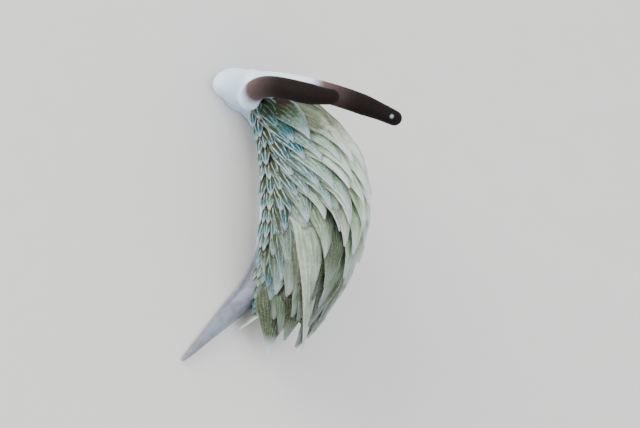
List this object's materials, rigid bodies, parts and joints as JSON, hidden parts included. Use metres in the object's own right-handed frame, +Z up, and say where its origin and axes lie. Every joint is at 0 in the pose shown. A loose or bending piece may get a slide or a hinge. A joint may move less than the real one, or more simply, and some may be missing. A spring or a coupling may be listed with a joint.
{
  "type": "rabbit sap-sucking slug",
  "caption": "Still life-size model of a small sap-sucking sea slug with rabbit-ear feelers and a back covered in leaf-shaped cerata.",
  "frame": {"origin": "middle of the foot's sole, on the floor under the middle of the body", "axes": "+Y the way the middle of the body heads, +X the animal's right, +Z up"},
  "size_m": [0.0047, 0.009, 0.0037],
  "materials": {
    "skin": "wet, milky and slightly see-through skin",
    "cerata": "moist leaf-green skin with fine pale lines and white tips",
    "rhinophore": "soft purple-brown skin, paler at the root",
    "eye": "glossy black"
  },
  "bodies": {
    "root": {"head": "skin", "neck": "skin", "torso": "cerata", "foot": "skin", "tail": "skin", "rhinophore_left": "rhinophore", "rhinophore_right": "rhinophore", "eye_left": "eye", "eye_right": "eye"}
  },
  "joints": []
}
